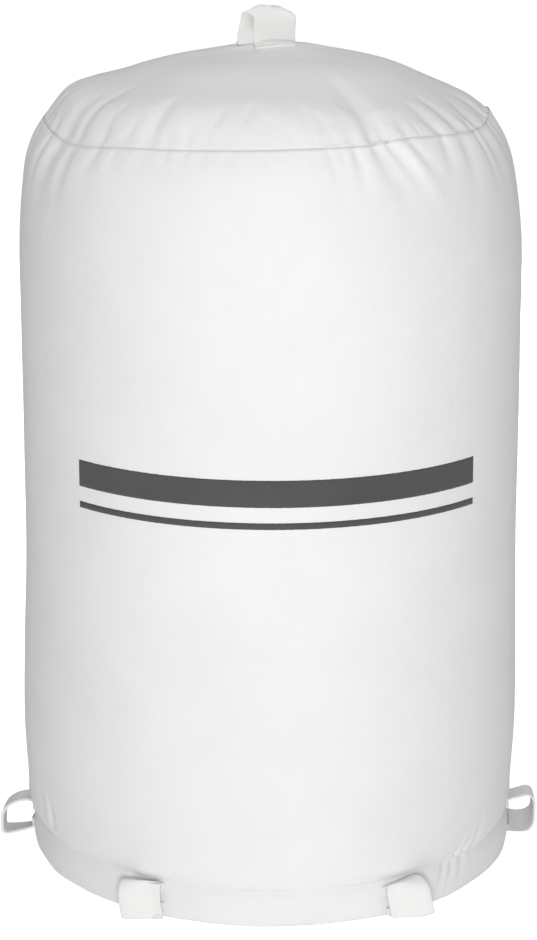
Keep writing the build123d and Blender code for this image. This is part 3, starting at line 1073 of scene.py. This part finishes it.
def fibreMaterial(name):
    color, roughness, sheen, *settings = fibreFinishes[name]
    material = bpy.data.materials.new(name)
    material.use_nodes = True
    tree = material.node_tree
    shader = tree.nodes["Principled BSDF"]
    fibres = tree.nodes.new("ShaderNodeGroup")
    fibres.node_tree = fibreGroup
    fibres.inputs["Color"].default_value = (*color, 1)
    names = ("Fibres per metre", "Fibre height", "Lump height", "Mottle")
    for socket, value in zip(names, settings):
        fibres.inputs[socket].default_value = value
    tree.links.new(fibres.outputs["Color"], shader.inputs["Base Color"])
    tree.links.new(fibres.outputs["Normal"], shader.inputs["Normal"])
    shader.inputs["Roughness"].default_value = roughness
    shader.inputs["Specular IOR Level"].default_value = 0.2
    shader.inputs["Sheen Weight"].default_value = sheen
    shader.inputs["Sheen Roughness"].default_value = 0.6
    return material, fibres, shader


feltMaterial = fibreMaterial("needleFelt")[0]
threadMaterial = fibreMaterial("polyesterThread")[0]
inkMaterial = fibreMaterial("screenInk")[0]


def makeStrapMaterial():
    # plain woven webbing: ribs across the strap and fine threads along it
    material, fibres, shader = fibreMaterial("wovenStrap")
    tree = material.node_tree
    weave = tree.nodes.new("ShaderNodeAttribute")
    weave.attribute_name = "weave"
    heights = []
    for direction, period in (("X", strapWeave["ribs"]), ("Y", strapWeave["threads"])):
        wave = tree.nodes.new("ShaderNodeTexWave")
        wave.wave_type, wave.bands_direction = "BANDS", direction
        wave.inputs["Scale"].default_value = 2 * math.pi / 20 / period
        wave.inputs["Distortion"].default_value = 0.0
        tree.links.new(weave.outputs["Vector"], wave.inputs["Vector"])
        heights.append(wave.outputs["Fac"])
    ribs = combined(tree, "MULTIPLY", *heights)
    bumps = bumped(tree, ribs, strapWeave["strength"], strapWeave["height"])
    tree.links.new(fibres.outputs["Normal"], bumps.inputs["Normal"])
    tree.links.new(bumps.outputs["Normal"], shader.inputs["Normal"])
    return material


strapMaterial = makeStrapMaterial()
for pieces, material in (([sideWall, crown, seamPlies], feltMaterial), (threads, threadMaterial),
                         (straps, strapMaterial), (printed, inkMaterial)):
    for piece in pieces:
        piece.data.materials.append(material)
print("materials made")


flatWidth = 2 * math.pi * wallRadius + backSeam["width"]
flatLength = float(distances(wallGrid[:, 0])[-1])
crownFlat = 2 * float(distances(np.array([[0, 0, crownTop], *crownGrid[:, 0]]))[-1])
wallFlat, sewnToWall = (flatWidth, flatLength), [seamPlies, threads[0], threads[2]]
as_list(sewnToWall)
print("flat sizes", round(flatWidth, 3), round(flatLength, 3), round(crownFlat, 3))


studio = {"floorHalf": 30, "floorColor": 0.86, "floorGlow": 0.15, "worldGlow": 0.33, "seenGlow": 0.62}


def glowFor(tree, socket, amount):
    # glows by amount, and by seenGlow more where the camera sees it directly
    seen = tree.nodes.new("ShaderNodeLightPath").outputs["Is Camera Ray"]
    glow = combined(tree, "MULTIPLY_ADD", seen, studio["seenGlow"], amount)
    tree.links.new(glow, socket)


half = studio["floorHalf"]
corners = [(-half, -half, 0), (half, -half, 0), (half, half, 0), (-half, half, 0)]
floor = newPiece("floor", corners, [(0, 1, 2, 3)], smooth=False)
floorMaterial = bpy.data.materials.new("paleFloor")
floorMaterial.use_nodes = True
floorShader = floorMaterial.node_tree.nodes["Principled BSDF"]
floorShader.inputs["Base Color"].default_value = (*[studio["floorColor"]] * 3, 1)
floorShader.inputs["Roughness"].default_value = 0.9
floorShader.inputs["Emission Color"].default_value = (1, 1, 1, 1)
glowFor(floorMaterial.node_tree, floorShader.inputs["Emission Strength"], studio["floorGlow"])
floor.data.materials.append(floorMaterial)

scene.view_settings.view_transform = "Standard"
world = bpy.data.worlds.new("studio")
world.use_nodes = True
sky = world.node_tree.nodes["Background"]
sky.inputs["Color"].default_value = (1, 1, 1, 1)
glowFor(world.node_tree, sky.inputs["Strength"], studio["worldGlow"])
scene.world = world


def areaLight(name, place, target, size, power):
    data = bpy.data.lights.new(name, "AREA")
    data.shape, data.size, data.energy = "DISK", size, power
    lamp = bpy.data.objects.new(name, data)
    lamp.location = place
    lamp.rotation_euler = (Vector(target) - Vector(place)).to_track_quat("-Z", "Y").to_euler()
    lamp.visible_camera = False
    scene.collection.objects.link(lamp)


areaLight("frontSoftbox", (0.05, -3.4, 0.9), (0, 0, 0.45), 0.9, 62)
areaLight("rearSoftbox", (0.3, 3.4, 0.6), (0, 0, 0.40), 0.9, 34)
areaLight("topSoftbox", (0, -0.2, 3.2), (0, 0, 0.8), 1.6, 21)

studioCamera = {"lensToSensor": 2.773404, "place": (-0.0026, -2.615, 1.093), "downTilt": 14.85}

cam = bpy.data.cameras.new("camera")
camera = bpy.data.objects.new("camera", cam)
scene.collection.objects.link(camera)
scene.camera = camera
cam.lens = cam.sensor_width * studioCamera["lensToSensor"]
camera.location = studioCamera["place"]
camera.rotation_euler = (math.radians(90 - studioCamera["downTilt"]), 0, 0)
